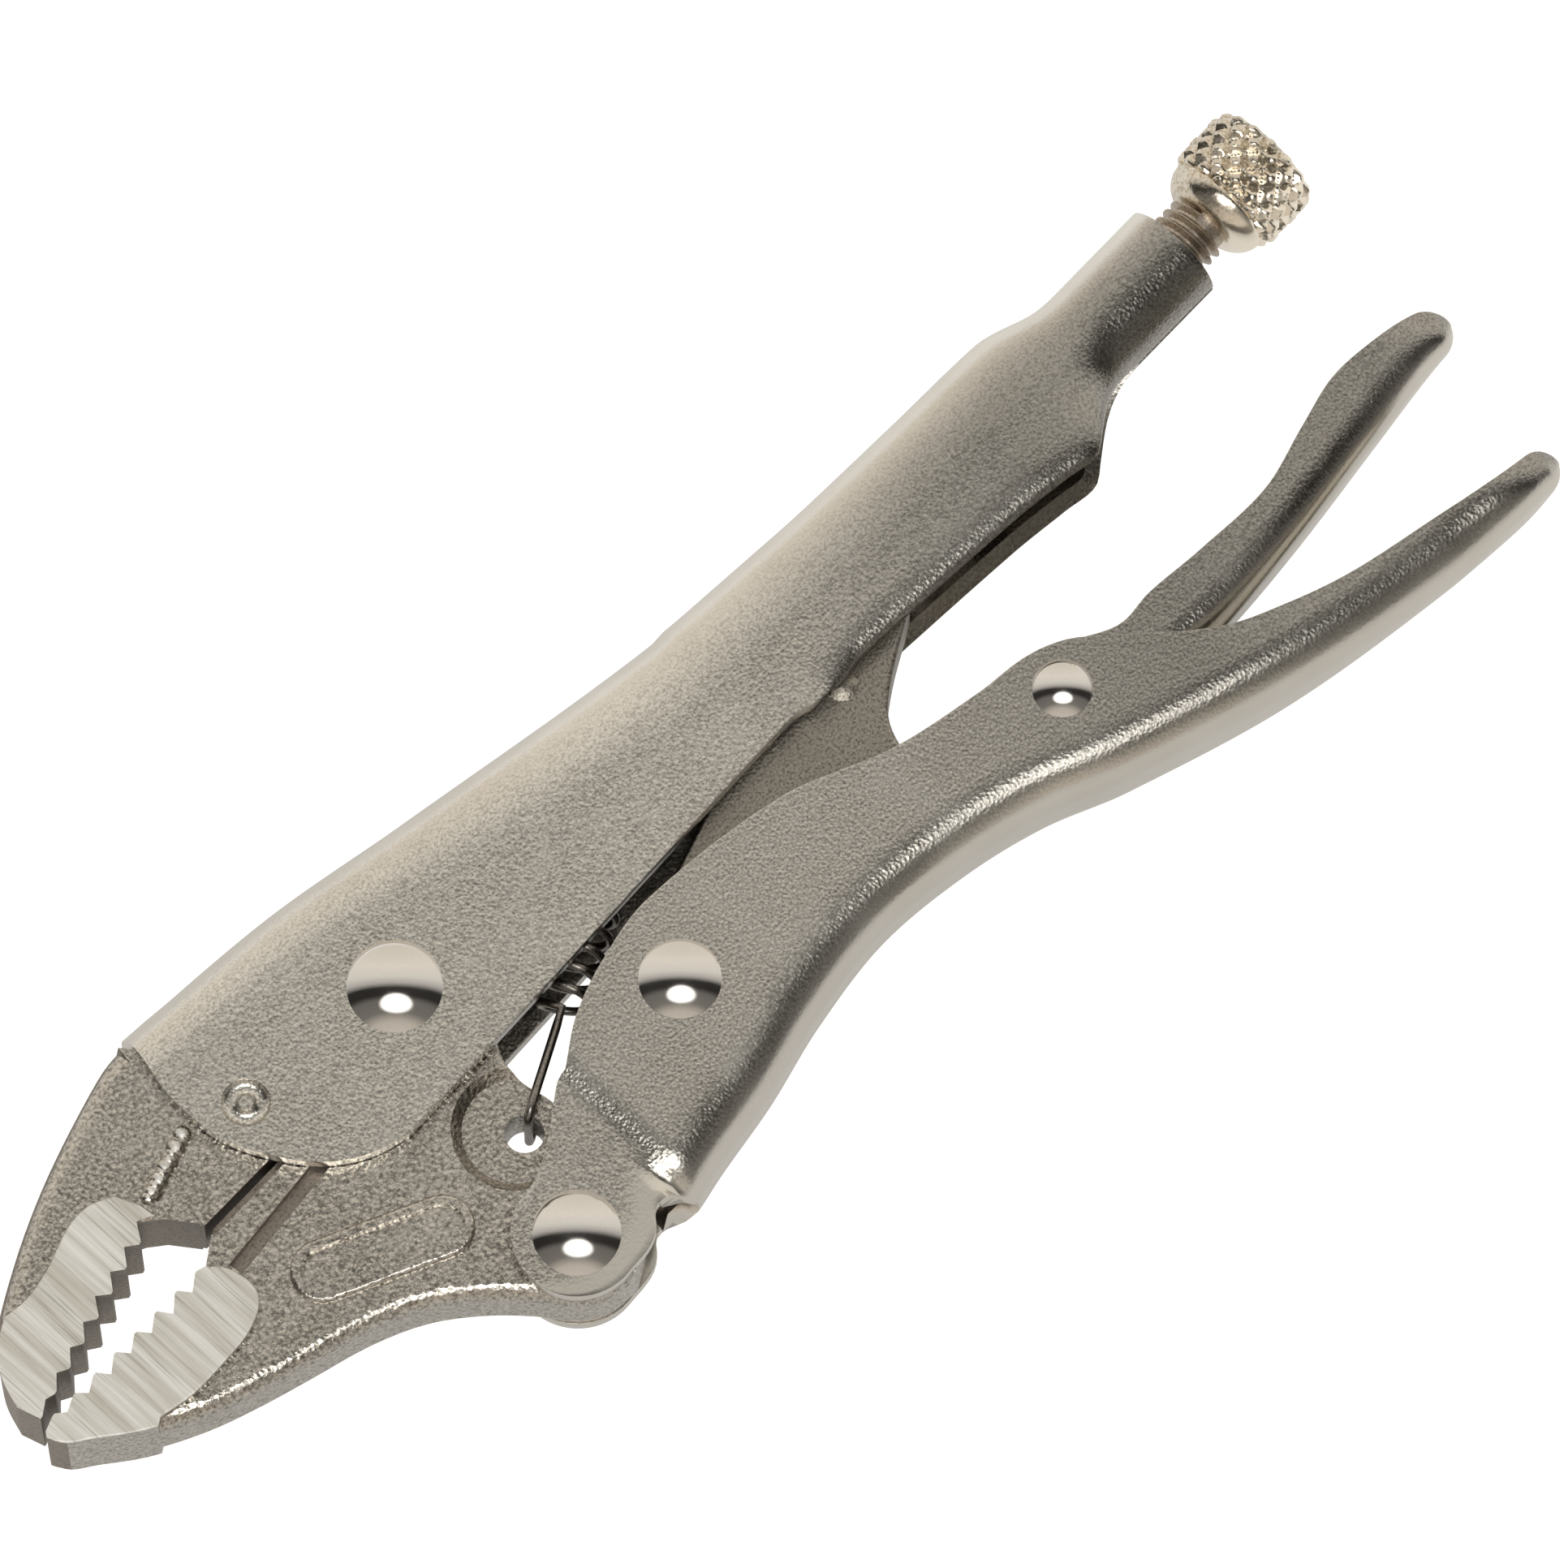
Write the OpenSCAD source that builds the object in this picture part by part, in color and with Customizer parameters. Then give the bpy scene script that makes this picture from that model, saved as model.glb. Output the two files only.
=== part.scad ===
// Curved-jaw locking pliers, 10 inch class, lying on one side with the jaws locked shut.
// Millimetres. X runs from the jaws to the adjusting knob, Y from the lever to the fixed
// handle, and Z up along the rivets. The origin is under the middle of the tool.

/* [Sheet metal] */
// Thickness of the pressed steel of the handle and the levers
sheet = 2.4; // [2:0.1:2.6]
// Width across the fixed handle
handle_w = 16.8; // [16.4:0.1:17.2]
// Width across the main lever
lever_w = 17.2; // [17:0.1:17.6]
// Width across the release lever
release_w = 12.2; // [11:0.1:12.3]

/* [Jaws] */
// Thickness of the jaw noses where the teeth are ground
nose_t = 14; // [13:0.5:15]
// Thickness of the jaws between the handle walls
shank_t = 11.8; // [11.4:0.1:11.8]
// Thickness of the moving jaw between the lever's ears
ear_t = 11.2; // [10.6:0.1:11.2]
// Distance from one tooth to the next
tooth_pitch = 3.6; // [3:0.1:4]
// Depth of the teeth
tooth_h = 1.8; // [1:0.1:2]

/* [Rivets] */
// Shank radius of the jaw rivet
jaw_rivet_r = 4; // [3.5:0.1:4.5]
// Shank radius of the rivets through the lever
lever_rivet_r = 3.4; // [3:0.1:3.6]
// Shank radius of the rivet of the release lever
release_rivet_r = 2.4; // [2:0.1:2.6]
// Running clearance round each rivet, on the radius
run = 0.06; // [0.02:0.01:0.1]

/* [Adjusting screw] */
// Outer radius of the thread
thread_r = 4.7; // [4.5:0.1:4.75]
// Pitch of the thread
thread_pitch = 1.5; // [1.25:0.05:1.75]
// Radius of the knurled knob
knob_r = 8.5; // [8:0.1:9]
// Length of the rod that shows between the tail tube and the knob
screw_out = 5.6; // [5:0.1:7]

/* [Return spring] */
// Wire diameter
wire_d = 1.3; // [1:0.1:1.4]
// Mean radius of the coils
coil_r = 2.9; // [2.6:0.1:3]
// Number of coils
coils = 13; // [10:1:14]

/* [Hidden] */
$fn = 64;

mid_z = 11;                     // height of the middle plane over the face the tool lies on
jaw_pivot = [-45, 21];
lever_pivot = [-53, -19];
toggle_pivot = [-19, -5.5];
link_end = [52, 16.5];          // centre of the rounded end that bears on the screw
release_pivot = [44, -15];
screw_y = 17;                   // height of the screw's axis
tube_end = 100.4;               // where the tail tube stops
tube_r = 7.25;
tip_gap = 4.5;                  // free play of the open pivot between the link and the screw
link_end_r = 5;
screw_tip = link_end.x + link_end_r + tip_gap;
screw_shoulder = tube_end + screw_out;
spring_hole = [-47.2, -4.2];
spring_hole_r = 2.6;
spring_tab = [13, 27.4];        // where the spring hooks into the handle
recess = [-47.8, -3.1];
recess_r = 7.5;
recess_depth = 1.1;

// ---- shapes shared by the parts ----

// Smooth height at x through key points [x, y] given in order of x
function slope_at(k, i) =
    i == 0 ? (k[1].y - k[0].y) / (k[1].x - k[0].x)
    : i == len(k) - 1 ? (k[i].y - k[i - 1].y) / (k[i].x - k[i - 1].x)
    : (k[i + 1].y - k[i - 1].y) / (k[i + 1].x - k[i - 1].x);
function segment_of(k, x, i = 0) = i >= len(k) - 2 || x <= k[i + 1].x ? i : segment_of(k, x, i + 1);
function along(k, x) =
    let (i = segment_of(k, x), w = k[i + 1].x - k[i].x, t = (x - k[i].x) / w)
    k[i].y * (2 * t ^ 3 - 3 * t ^ 2 + 1) + slope_at(k, i) * w * (t ^ 3 - 2 * t ^ 2 + t)
    + k[i + 1].y * (3 * t ^ 2 - 2 * t ^ 3) + slope_at(k, i + 1) * w * (t ^ 3 - t ^ 2);

// Closed smooth outline through a few points
function rounded(p, steps = 4) = [
    for (i = [0:len(p) - 1], s = [0:steps - 1])
        let (n = len(p), a = p[(i + n - 1) % n], b = p[i], c = p[(i + 1) % n], d = p[(i + 2) % n],
             t = s / steps)
        0.5 * (2 * b + (c - a) * t + (2 * a - 5 * b + 4 * c - d) * t ^ 2
               + (3 * b - a - 3 * c + d) * t ^ 3)];

// Arc of points round c from angle a to angle b
function arc(c, r, a, b, n = 12) = [
    for (i = [0:n]) let (t = a + (b - a) * i / n) c + r * [cos(t), sin(t)]];

// Plate with its middle on the tool's middle plane
module plate(t) { translate([0, 0, mid_z - t / 2]) linear_extrude(t) children(); }

// Bore or pin along Z through the whole width
module cross_bore(at, r, half = 20) {
    translate([at.x, at.y, mid_z - half]) cylinder(r = r, h = 2 * half);
}

// Folded channel, back on the +Y side and open towards -Y, with rounded back corners made of
// plates that step in. low and high are its two long edges, each in order of x.
least = 0.8;                    // least depth of a plate, near the tip of a lever
function end_x(pts) = pts[len(pts) - 1].x;
module side_view(low, high, inset) {
    polygon(concat(low, [for (i = [len(high) - 1:-1:0])
        [high[i].x, i < len(low) ? max(high[i].y - inset, low[i].y + least) : high[i].y - inset]]));
}
module top_view(near_w, from_x, end_w, last_x, less = 0) {
    half = near_w / 2 - less;
    tip = end_w / 2 - less;
    translate([0, 60, mid_z]) rotate([90, 0, 0]) linear_extrude(120)
        polygon([[-90, -half], [from_x, -half], [last_x - less, -tip], [last_x - less, tip],
                 [from_x, half], [-90, half]]);
}
module channel(low, high, w, r, from_x, end_w, open_end = 0) {
    ri = r - sheet;
    deep = [[low[0].x - 1, -60], [end_x(low) + open_end, -60]];
    roof = concat([[low[0].x - 1, high[0].y]], [for (q = high) if (q.x < end_x(low) + open_end) q],
                  [[end_x(low) + open_end, high[len(high) - 1].y]]);
    difference() {
        intersection() {
            for (a = [0:30:90]) plate(w - 2 * r * (1 - cos(a))) side_view(low, high, r * (1 - sin(a)));
            top_view(w, from_x, end_w, end_x(low));
        }
        intersection() {
            for (a = [0:45:90]) plate(w - 2 * sheet - 2 * ri * (1 - cos(a)))
                side_view(deep, roof, sheet + ri * (1 - sin(a)));
            top_view(w, from_x, end_w, end_x(low) + open_end + sheet, sheet);
        }
    }
}

// Rivet with a domed head against each outer face
module rivet(at, shank_r, head_r, face, dome) {
    ball_r = (head_r ^ 2 + dome ^ 2) / (2 * dome);
    top = asin(head_r / ball_r);
    translate([at.x, at.y, mid_z]) {
        cylinder(r = shank_r, h = 2 * face, center = true);
        for (side = [0, 1]) mirror([0, 0, side])
            translate([0, 0, face]) rotate_extrude()
                polygon(concat([[0, 0]], [for (i = [0:8]) ball_r * [sin(top * (1 - i / 8)),
                    cos(top * (1 - i / 8))] - [0, ball_r - dome]]));
    }
}

// ---- fixed handle ----
handle_back = [[-75, 43.3], [-49, 40.9], [-27, 36.8], [12, 30], [35, 28.3], [57, 27.4], [74, 27],
               [80, 26], [86, 24.6]];
handle_edge = [[-56, 6], [-37, 6.5], [-20, 7.1], [21, 8.1], [28, 7.8], [57, 5.5], [74, 5.2], [86, 9.6]];
front_corner = [-56, 28];       // centre of the rounded front corner of the side walls
front_r = [19, 22];
tube_from = 78;
stake = [-70.4, 24.6];

module fixed_handle() {
    low = concat([for (a = [180:10:260]) front_corner + [front_r.x * cos(a), front_r.y * sin(a)]],
                 [for (x = [front_corner.x:7.1:86]) [x, along(handle_edge, x)]]);
    high = [for (q = low) [q.x, along(handle_back, q.x)]];
    color("silver") difference() {
        union() {
            channel(low, high, handle_w, 5, 60, 2 * tube_r + 0.3, 1);
            translate([tube_from, screw_y, mid_z]) rotate([0, 90, 0]) cylinder(r = tube_r, h = tube_end - tube_from);
            translate([spring_tab.x - 1, spring_tab.y - 3.4, mid_z - 2]) cube([2, 3.6, 4]);
        }
        translate([tube_from - 8, screw_y, mid_z]) rotate([0, 90, 0]) cylinder(r = thread_r + run, h = 40);
        cross_bore(jaw_pivot, jaw_rivet_r);
        for (side = [-1, 1]) translate([stake.x, stake.y, mid_z + side * (handle_w / 2 + 0.5)]) sphere(r = 1.8);
    }
}

// ---- jaws ----
boss_r = 13.6;                  // round boss of the moving jaw inside the handle
tip = [-119.4, 14.4];
block = [-84.8, 17.4];          // inner corner of the fixed jaw, where the wire cutter starts
mouth_in = [-90.2, 22.2];       // innermost tooth of the fixed jaw
lower_in = [-88.8, 13.4];       // innermost tooth of the moving jaw

// Row of saw teeth from a to b, standing towards the side the row's left hand points to
function tooth_row(a, b) =
    let (n = round(norm(b - a) / tooth_pitch), u = (b - a) / norm(b - a), v = [-u.y, u.x],
         p = norm(b - a) / n)
    [for (i = [0:n - 1]) each [a + u * p * i - v * tooth_h, a + u * p * (i + 0.62)]];

fixed_outer = [[-119.2, 18], [-117.6, 22.4], [-114.2, 26.6], [-110.3, 29.4], [-101.4, 34], [-91.7, 37.9],
               [-80, 41.4], [-75.1, 42]];

module fixed_jaw_outline() {
    hold_r = boss_r + 0.6;
    polygon(concat(fixed_outer, [[-75.1, 38], [-60, 36.2]],
                   [for (a = [123:8:197]) jaw_pivot + hold_r * [cos(a), sin(a)]],
                   [[-60.5, 17.4], block, [-87.8, 21.6]],
                   tooth_row(mouth_in, tip)));
}

module fixed_jaw() {
    color("gainsboro") difference() {
        plate(nose_t) fixed_jaw_outline();
        // the shank is thinner where the handle wraps it
        for (side = [0, 1]) translate([-75.1, 0, mid_z + (side ? shank_t / 2 : -shank_t / 2 - 5)])
            cube([40, 60, 5]);
    }
}

module moving_jaw_outline() {
    polygon(concat(
        [for (a = [0:11:198]) jaw_pivot + boss_r * [cos(a), sin(a)]],
        [[-84, 16.6], lower_in],
        [for (i = [len(lower_teeth) - 1:-1:0]) lower_teeth[i]],
        lower_outer,
        arc(lever_pivot, 8.8, 205, 350, 14),
        [[-42.6, -10], [-41.6, -4], [-42.4, 1], [-41.6, 5.5], [-38, 9.5], [-34, 13]]));
}
lower_teeth = tooth_row(tip + [0.4, -0.5], lower_in + [0, 0.2]);
lower_outer = [[-119.5, 12.4], [-118.2, 10], [-115.4, 7.9], [-110.2, 3.9], [-103.3, 0.1], [-96.4, -2.6],
               [-88.8, -5], [-80.2, -7.6], [-73, -11], [-67.2, -15.6], [-62.8, -20.4]];

module moving_jaw() {
    color("gainsboro") difference() {
        union() {
            plate(ear_t) moving_jaw_outline();
            plate(nose_t) intersection() {
                moving_jaw_outline();
                translate([-125, -10]) square([46, 40]);
            }
            plate(shank_t) intersection() {
                moving_jaw_outline();
                translate([-80, 0]) square([60, 40]);
            }
        }
        cross_bore(jaw_pivot, jaw_rivet_r + run);
        cross_bore(lever_pivot, lever_rivet_r + run);
        cross_bore(spring_hole, spring_hole_r);
        for (side = [0, 1]) translate([recess.x, recess.y, mid_z + (side ? ear_t / 2 - recess_depth : -ear_t / 2 - 2)])
            cylinder(r = recess_r, h = 2 + recess_depth);
    }
}

// ---- main lever ----
lever_back = [[-38, 27.2], [-32, 25.6], [-21, 23.7], [-9, 21], [5, 19.4], [19, 20.9], [31, 24],
              [42, 28.7], [65, 36.1], [91, 41.3], [104, 42.3], [111, 41.4]];
lever_edge = [[-38, 3.4], [-32, -0.9], [-24, -3.6], [-14, -5], [8, -1.8], [23, 4.2], [36, 6.8],
              [44, 7.7], [49.5, 10.4], [54, 14.9], [64.3, 24], [72.5, 28], [81.6, 31.2], [94.5, 33.8],
              [105.6, 36.6], [111, 39]];
lever_ear_r = 9.2;
ear_sheet = 2.3;

module lever_handle() {
    low = [for (x = [-38:4.966:111.1]) [x, along(lever_edge, x)]];
    high = [for (q = low) [q.x, along(lever_back, q.x)]];
    color("silver") difference() {
        union() {
            mirror([0, 1, 0]) channel(low, high, lever_w, 4.8, 66, lever_w - 4, -sheet);
            // ears, set inwards of the channel to hug the moving jaw
            for (side = [0, 1]) translate([0, 0, mid_z + (side ? ear_t / 2 + run : -ear_t / 2 - run - ear_sheet)])
                linear_extrude(ear_sheet) hull() {
                    translate(lever_pivot) circle(r = lever_ear_r, $fn = 48);
                    polygon([[-41, -4.2], [-36.2, -2.4], [-36.2, -24.4], [-39, -26.2]]);
                }
        }
        for (at = [lever_pivot, toggle_pivot]) cross_bore(at, lever_rivet_r);
        cross_bore(release_pivot, release_rivet_r);
    }
}

// ---- toggle link ----
link_t = 8.4;
link_points = [[-26.4, -7.5], [-24.6, -0.8], [-15, 3.4], [4, 9.6], [28, 17.2], [44, 21.2]];
link_under = [[46, 11.6], [38.4, 7.4], [31.5, 3.6], [26.8, 0], [24.8, -4.4], [24.4, -8.6], [20.5, -11.4],
              [8, -12.2], [-8, -12.8], [-19, -13]];

module toggle_link() {
    color("darkgray") difference() {
        union() {
            plate(link_t) polygon(rounded(concat(link_points, arc(link_end, link_end_r, 80, -80, 4), link_under)));
            // pressed stiffening bumps
            for (side = [-1, 1]) translate([26, 8.5, mid_z + side * (link_t / 2 - 1.4)]) sphere(r = 2.2);
        }
        cross_bore(toggle_pivot, lever_rivet_r + run);
    }
}

// ---- release lever ----
release_back = [[24, 15.5], [32, 19.4], [44, 22], [56, 23.2], [66, 23.6], [81, 22.7], [99, 20.7],
                [110, 19.2], [117.4, 17.4]];
release_edge = [[24, 13], [32, 11.4], [40, 9.6], [48, 10], [56, 14], [62, 13.9], [71, 14.8], [83, 15],
                [93, 12.1], [101, 10.4], [110, 11], [117.4, 14.4]];

module release_lever() {
    low = [for (x = [24:4.67:117.5]) [x, along(release_edge, x)]];
    high = [for (q = low) [q.x, along(release_back, q.x)]];
    color("lightgray") difference() {
        mirror([0, 1, 0]) channel(low, high, release_w, 2.8, 60, release_w - 2, -sheet);
        cross_bore(release_pivot, release_rivet_r + run);
    }
}

// ---- adjusting screw and knob ----
thread_root_r = thread_r - 0.85;

module adjusting_screw() {
    start = screw_tip + 2;
    turns = floor((screw_shoulder - start - 0.6) / thread_pitch);
    thread = [for (i = [0:turns - 1]) each [[thread_root_r, start + i * thread_pitch],
                                           [thread_r, start + (i + 0.42) * thread_pitch],
                                           [thread_r, start + (i + 0.58) * thread_pitch]]];
    color("rosybrown") translate([0, screw_y, mid_z]) rotate([90, 0, 90]) rotate_extrude()
        polygon(concat([[0, screw_tip], [2.6, screw_tip], [thread_root_r, screw_tip + 1.2]], thread,
                       [[thread_root_r, start + turns * thread_pitch],
                        [thread_root_r, screw_shoulder + knob_bore - 0.2],
                        [0, screw_shoulder + knob_bore - 0.2]]));
}

knob_l = 13.4;
knob_bore = 10.6;               // depth that the rod is pressed into the knob

module screw_knob() {
    color("silver") translate([screw_shoulder, screw_y, mid_z]) rotate([90, 0, 90]) difference() {
        rotate_extrude() polygon([[0, 0], [5.4, 0], [5.9, 1.4], [7, 2.6], [7.9, 3.4], [knob_r - 0.2, 4.4],
            [knob_r, 5], [knob_r, knob_l - 0.8], [knob_r - 0.8, knob_l], [0, knob_l]]);
        translate([0, 0, -1]) cylinder(r = thread_root_r + run, h = knob_bore + 1);
    }
}

// ---- return spring ----
spring_dir = (spring_tab - spring_hole) / norm(spring_tab - spring_hole);
spring_side = [-spring_dir.y, spring_dir.x];
coil_from = 18;
coil_to = 57;
function spring_place(q) = concat(spring_hole + q[0] * spring_dir + q[1] * spring_side, [mid_z + q[2]]);
hook = [[5, 0, -6.1], [2.4, 0, -6], [1.6, 0, -4.6], [1.6, 0, 4.6], [2.4, 0, 6], [9, 0, 5]];
hook_points = len(hook);
spring_path = concat(hook,
    [for (i = [0:9 * coils]) [coil_from + (coil_to - coil_from) * i / (9 * coils),
                              coil_r * sin(40 * i), coil_r * cos(40 * i)]],
    [[59, 0, 0.4], [63, 0, 0], [66, 0.6, 0]]);
wire_sides = 6;

module return_spring() {
    path = [for (q = spring_path) spring_place(q)];
    last = len(path) - 1;
    function unit(v) = v / norm(v);
    rings = [for (i = [0:last])
        let (t = unit(path[min(i + 1, last)] - path[max(i - 1, 0)]),
             in_coils = i > hook_points && i < last - 3,
             ref = in_coils ? concat(-spring_dir, [0]) : concat(spring_side, [0]),
             u = unit(cross(t, ref)), v = cross(u, t))
        each [for (k = [0:wire_sides - 1])
            path[i] + wire_d / 2 * (u * cos(360 * k / wire_sides) + v * sin(360 * k / wire_sides))]];
    sides = [for (i = [0:last - 1], k = [0:wire_sides - 1])
        let (a = i * wire_sides + k, b = i * wire_sides + (k + 1) % wire_sides)
        each [[a, b, a + wire_sides], [b, b + wire_sides, a + wire_sides]]];
    color("dimgray") polyhedron(rings, concat(sides, [[for (k = [wire_sides - 1:-1:0]) k]],
                                              [[for (k = [0:wire_sides - 1]) last * wire_sides + k]]));
}

// ---- rivets ----
lever_ear_face = ear_t / 2 + run + ear_sheet;
module jaw_pivot_rivet() { color("white") rivet(jaw_pivot, jaw_rivet_r, 6.3, handle_w / 2, 2.6); }
module lever_pivot_rivet() { color("white") rivet(lever_pivot, lever_rivet_r, 5.8, lever_ear_face, 2.4); }
module toggle_pivot_rivet() { color("white") rivet(toggle_pivot, lever_rivet_r, 5.5, lever_w / 2, 2.2); }
module release_pivot_rivet() { color("white") rivet(release_pivot, release_rivet_r, 4, lever_w / 2, 1.8); }

fixed_handle();
fixed_jaw();
moving_jaw();
lever_handle();
toggle_link();
release_lever();
adjusting_screw();
screw_knob();
return_spring();
jaw_pivot_rivet();
lever_pivot_rivet();
toggle_pivot_rivet();
release_pivot_rivet();
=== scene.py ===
import math
from math import cos, sin, pi, radians, sqrt

import bpy
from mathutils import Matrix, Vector


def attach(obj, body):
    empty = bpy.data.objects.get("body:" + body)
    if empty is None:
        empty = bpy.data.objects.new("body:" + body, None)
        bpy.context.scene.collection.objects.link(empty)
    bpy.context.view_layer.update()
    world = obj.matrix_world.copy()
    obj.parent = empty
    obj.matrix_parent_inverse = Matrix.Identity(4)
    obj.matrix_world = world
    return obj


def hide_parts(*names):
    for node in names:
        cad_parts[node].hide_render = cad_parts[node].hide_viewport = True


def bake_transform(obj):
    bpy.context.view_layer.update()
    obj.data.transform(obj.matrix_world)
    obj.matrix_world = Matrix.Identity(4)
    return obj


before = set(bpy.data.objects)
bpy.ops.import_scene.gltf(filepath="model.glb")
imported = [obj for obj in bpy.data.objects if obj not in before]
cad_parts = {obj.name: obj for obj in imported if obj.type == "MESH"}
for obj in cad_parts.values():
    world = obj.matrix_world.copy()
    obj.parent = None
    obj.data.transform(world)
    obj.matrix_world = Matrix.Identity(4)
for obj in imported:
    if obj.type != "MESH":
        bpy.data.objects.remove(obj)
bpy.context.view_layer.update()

# ---- bench, light and camera ----
# The tool lies on one side on a plain white bench inside a light tent: a bright wall uphill, a dark
# gap overhead where the camera looks in, and a dim wall downhill with an oval soft box hung in it.

MM = 0.001
MID = 11.0                      # height of the tool's middle plane over the bench, mm
scene = bpy.context.scene
scene.view_settings.view_transform = "Standard"

aim = Vector((11.5, 4.45, MID)) * MM
turn, rise, away = radians(-47), radians(73), 2.2
back = Vector((sin(turn) * cos(rise), -cos(turn) * cos(rise), sin(rise)))
bpy.ops.object.camera_add(location=aim + back * away)
camera = bpy.context.object
camera.rotation_mode = "QUATERNION"
camera.rotation_quaternion = (-back).to_track_quat("-Z", "Y")
camera.data.lens = 385.4
camera.data.clip_end = 10
scene.camera = camera


def new_nodes(owner):
    """Clear the node tree of a material or world and return what adds nodes to it."""
    owner.use_nodes = True
    tree = owner.node_tree
    tree.nodes.clear()

    def add(kind, inputs=None, **settings):
        made = tree.nodes.new(kind)
        for key, value in settings.items():
            setattr(made, key, value)
        for key, value in (inputs or {}).items():
            if isinstance(value, bpy.types.NodeSocket):
                tree.links.new(value, made.inputs[key])
            else:
                made.inputs[key].default_value = value
        return made

    return add


def ramp(add, value, stops):
    """Colour ramp over value, with stops of (place, colour)."""
    made = add("ShaderNodeValToRGB", {"Fac": value})
    band = made.color_ramp.elements
    while len(band) < len(stops):
        band.new(0.5)
    for stop, (place, colour) in zip(band, stops):
        stop.position = place
        stop.color = (*colour, 1)
    return made.outputs["Color"]


uphill_way, right_way = (0.731, 0.682, 0.0), (0.682, -0.731, 0.0)
dark_gap = (0.03, 0.028, 0.026)
tent = bpy.data.worlds.new("light_tent")
scene.world = tent
add = new_nodes(tent)
where = add("ShaderNodeTexCoord").outputs["Generated"]
uphill, right = (add("ShaderNodeVectorMath", {0: where, 1: way},
                     operation="DOT_PRODUCT").outputs["Value"] for way in (uphill_way, right_way))
place = add("ShaderNodeMath", {0: uphill, 1: 0.5, 2: 0.5}, operation="MULTIPLY_ADD")
walls = ramp(add, place.outputs["Value"], [
    (0.00, (0.66, 0.60, 0.53)), (0.10, (0.55, 0.50, 0.44)), (0.20, (0.20, 0.19, 0.17)),
    (0.36, (0.16, 0.15, 0.14)), (0.43, dark_gap), (0.54, dark_gap), (0.61, (0.50, 0.48, 0.45)),
    (0.70, (0.76, 0.73, 0.67)), (0.84, (0.86, 0.80, 0.72)), (1.00, (0.76, 0.70, 0.62))])


def away_from(value, middle, reach):
    """How far value is from the soft box's middle, squared, as a share of the box's reach."""
    off = add("ShaderNodeMath", {0: value, 1: middle}, operation="SUBTRACT")
    share = add("ShaderNodeMath", {0: off.outputs["Value"], 1: reach}, operation="DIVIDE")
    return add("ShaderNodeMath", {0: share.outputs["Value"], 1: 2.0},
               operation="POWER").outputs["Value"]


far_off = add("ShaderNodeMath",
              {0: away_from(uphill, -0.36, 0.30), 1: away_from(right, 0.03, 0.52)},
              operation="ADD")
box = add("ShaderNodeMapRange",
          {"Value": far_off.outputs["Value"], "From Min": 1.0, "From Max": 0.25,
           "To Min": 0.0, "To Max": 1.0}, interpolation_type="SMOOTHSTEP")
lit = add("ShaderNodeMixRGB",
          {"Fac": box.outputs["Result"], "Color1": walls, "Color2": (2.8, 2.75, 2.65, 1)})
ray = add("ShaderNodeLightPath").outputs["Is Camera Ray"]
seen = add("ShaderNodeMixRGB",
           {"Fac": ray, "Color1": lit.outputs["Color"], "Color2": (1.0, 1.0, 1.0, 1)})
glow = add("ShaderNodeBackground", {"Color": seen.outputs["Color"], "Strength": 1.0})
add("ShaderNodeOutputWorld", {"Surface": glow.outputs["Background"]})

lamp_side = Vector((-0.33, -0.27, 0.90)).normalized()
bpy.ops.object.light_add(type="AREA", location=aim + lamp_side * 0.86)
lamp = bpy.context.object
lamp.data.shape = "DISK"
lamp.data.size = 0.13
lamp.data.energy = 0.55
lamp.data.color = (1.0, 0.98, 0.95)
lamp.rotation_mode = "QUATERNION"
lamp.rotation_quaternion = lamp_side.to_track_quat("Z", "Y")

bpy.ops.object.select_all(action="DESELECT")
bpy.ops.mesh.primitive_plane_add(size=6, location=(0, 0, -0.0002))
bench = bpy.context.object
bench.name = "bench_top"
white = bpy.data.materials.new("bench_white")
add = new_nodes(white)
ray = add("ShaderNodeLightPath").outputs["Is Camera Ray"]
spot = add("ShaderNodeTexCoord").outputs["Object"]
slope = add("ShaderNodeVectorMath", {0: spot, 1: uphill_way}, operation="DOT_PRODUCT")
bounce = add("ShaderNodeMapRange",
             {"Value": slope.outputs["Value"], "From Min": 0.0, "From Max": 0.14,
              "To Min": 0.38, "To Max": 0.62})
bright = add("ShaderNodeMapRange",
             {"Value": ray, "To Min": bounce.outputs["Result"], "To Max": 1.0})
paper = add("ShaderNodeBsdfPrincipled", {"Base Color": (0.3, 0.29, 0.28, 1), "Roughness": 0.9,
                                         "Emission Color": (1, 0.99, 0.97, 1),
                                         "Emission Strength": bright.outputs["Result"]})
add("ShaderNodeOutputMaterial", {"Surface": paper.outputs["BSDF"]})
bench.data.materials.append(white)

# ---- fixed handle ----
# One channel pressed from 2.4 mm steel sheet, satin nickel plated over the grain of the steel. Its
# back is rolled round, the rear half of its edges curls inwards, and its tail is drawn to a tube.


def height_at(keys, x):
    """Smooth height at x through key points (x, y) given in order of x."""
    last = len(keys) - 1
    i = max(0, min(last - 1, sum(1 for k in keys[1:-1] if k[0] < x)))

    def slope(n):
        a, b = keys[max(n - 1, 0)], keys[min(n + 1, last)]
        return (b[1] - a[1]) / (b[0] - a[0])

    (x0, y0), (x1, y1) = keys[i], keys[i + 1]
    w = x1 - x0
    t = (x - x0) / w
    return (y0 * (2 * t ** 3 - 3 * t ** 2 + 1) + slope(i) * w * (t ** 3 - 2 * t ** 2 + t)
            + y1 * (3 * t ** 2 - 2 * t ** 3) + slope(i + 1) * w * (t ** 3 - t ** 2))


def ease(x, start, end):
    """Soft step from 0 at start to 1 at end."""
    t = max(0.0, min(1.0, (x - start) / (end - start)))
    return t * t * (3 - 2 * t)


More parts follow.
